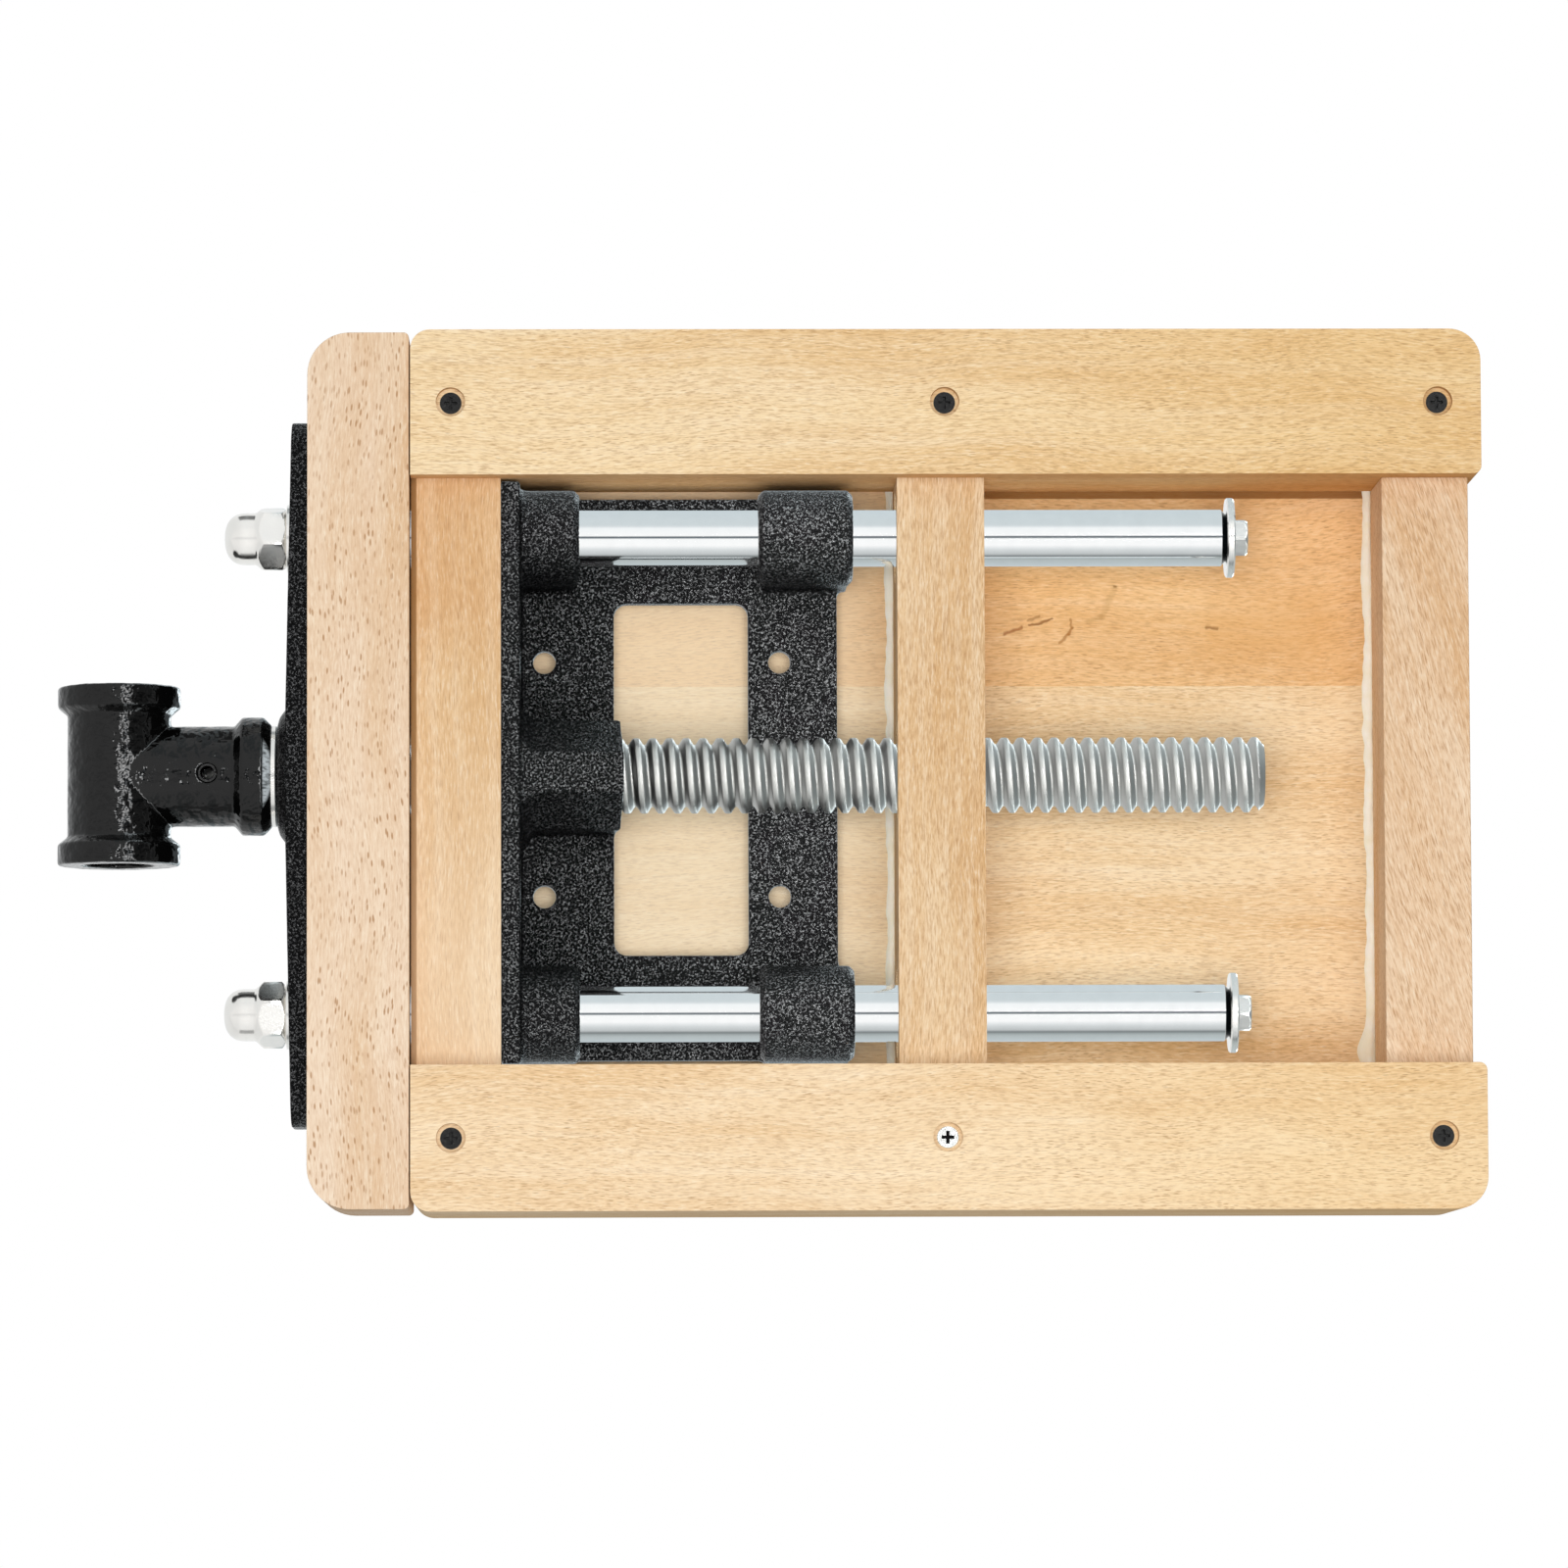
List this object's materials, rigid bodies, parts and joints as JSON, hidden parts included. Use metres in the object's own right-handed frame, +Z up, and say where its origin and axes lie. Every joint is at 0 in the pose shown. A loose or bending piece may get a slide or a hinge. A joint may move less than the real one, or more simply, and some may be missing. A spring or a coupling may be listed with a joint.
{
  "type": "bench-top woodworking vise",
  "caption": "Beech box-frame bench-top vise: a sliding wooden jaw on two steel guide rods, drawn in by a lead screw with a pipe-tee handle hub",
  "frame": {"origin": "on the resting plane, under the middle of the closed vise's whole length, on the screw's vertical plane", "axes": "+X along the screw, away from the handle; +Y to the left of a user who faces +X; +Z up, from the rails' undersides to the board"},
  "size_m": [0.5378, 0.332, 0.086],
  "materials": {
    "board_beech": "oiled beech panel",
    "rail_beech": "oiled beech",
    "cross_beech": "oiled beech",
    "jaw_beech": "oiled beech",
    "black_casting": "black wrinkle paint",
    "gloss_black_iron": "gloss black paint over a rough casting",
    "bright_rod": "ground and plated",
    "screw_steel": "zinc plated",
    "zinc_steel": "bright zinc",
    "black_screw": "black phosphate"
  },
  "bodies": {
    "base": {"top_board": "board_beech", "left_rail": "rail_beech", "right_rail": "rail_beech", "front_cross_rail": "cross_beech", "middle_brace": "cross_beech", "rear_cross_rail": "cross_beech", "rail_screws": "black_screw", "bright_rail_screw": "zinc_steel", "rear_bracket": "black_casting", "bracket_screws": "black_screw"},
    "jaw": {"moving_jaw": "jaw_beech", "front_plate": "black_casting", "jaw_screws": "black_screw", "left_guide_rod": "bright_rod", "right_guide_rod": "bright_rod", "cap_nut_washers": "zinc_steel", "cap_nuts": "zinc_steel", "rod_end_washers": "zinc_steel", "rod_end_bolts": "zinc_steel"},
    "screw": {"lead_screw": "screw_steel", "retaining_collar": "screw_steel", "collar_pin": "screw_steel", "thrust_washer": "zinc_steel", "handle_tee": "gloss_black_iron", "tee_pin": "black_screw"}
  },
  "joints": [
    {"name": "jaw_slide", "type": "slide", "parent": "base", "child": "jaw", "axis": [-1, 0, 0], "range_m": [0, 0.1397]},
    {"name": "screw_turn", "type": "hinge", "parent": "jaw", "child": "screw", "pos_m": [-0.18, 0, 0.036], "axis": [-1, 0, 0], "range_deg": [0, 7920]}
  ],
  "couplings": [
    {"joint": "screw_turn", "follows": "jaw_slide", "rad_per_m": 989.48}
  ]
}
